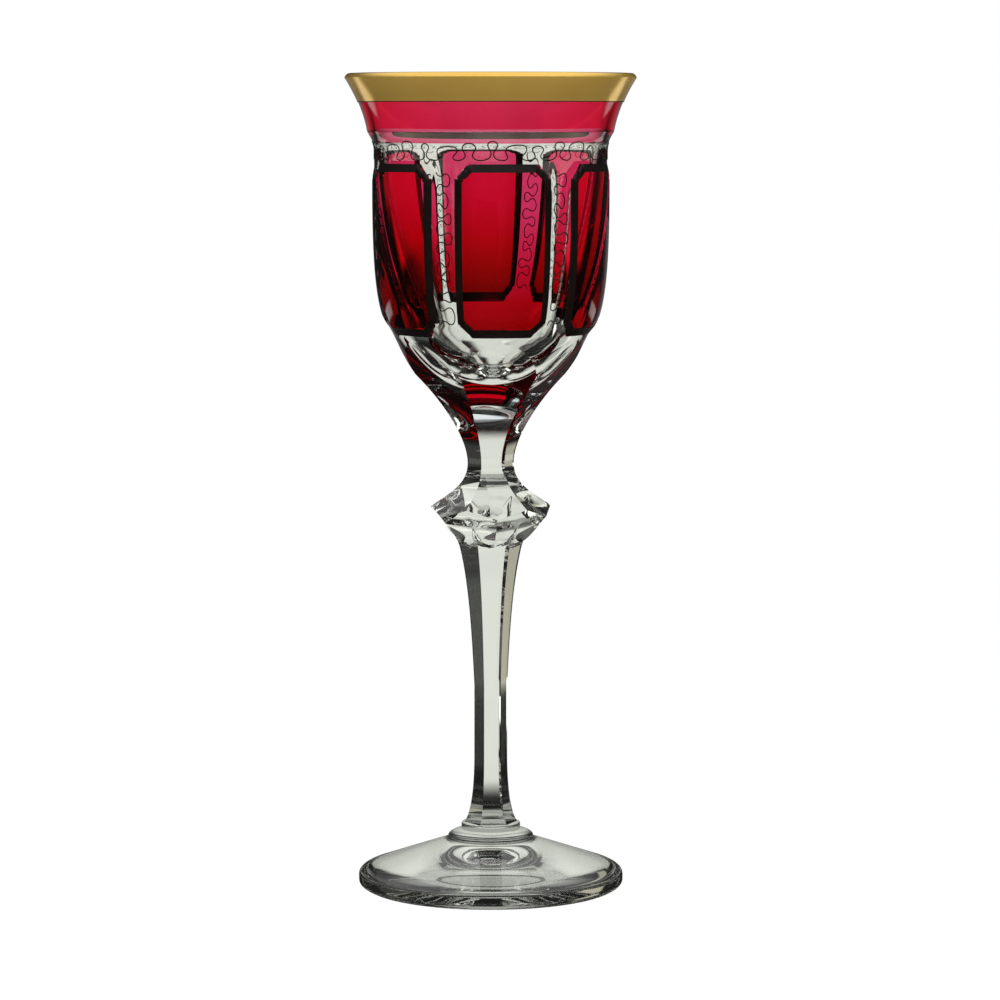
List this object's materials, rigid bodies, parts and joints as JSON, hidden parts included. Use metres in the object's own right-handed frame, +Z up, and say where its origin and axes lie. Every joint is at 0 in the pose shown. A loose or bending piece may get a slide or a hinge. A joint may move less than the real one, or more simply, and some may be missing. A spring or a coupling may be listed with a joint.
{
  "type": "wine glass",
  "caption": "Stemmed wine glass in clear cut crystal with ruby panels and band, a faceted knop stem, a round foot and a gilt flared lip, for serving wine.",
  "frame": {"origin": "on the table under the middle of the foot", "axes": "+Z up along the stem, -Y out of the face of the first ruby panel, +X to the right of that panel seen from outside"},
  "size_m": [0.0764, 0.0764, 0.2151],
  "materials": {
    "crystal": "clear polished cut crystal",
    "ruby": "polished ruby casing glass",
    "gold": "burnished gilding"
  },
  "bodies": {
    "root": {"foot": "crystal", "stem": "crystal", "bowl": "crystal", "ruby_rim_band": "ruby", "ruby_panel_1": "ruby", "ruby_panel_2": "ruby", "ruby_panel_3": "ruby", "ruby_panel_4": "ruby", "ruby_panel_5": "ruby", "ruby_panel_6": "ruby", "gold_rim_band": "gold"}
  },
  "joints": []
}
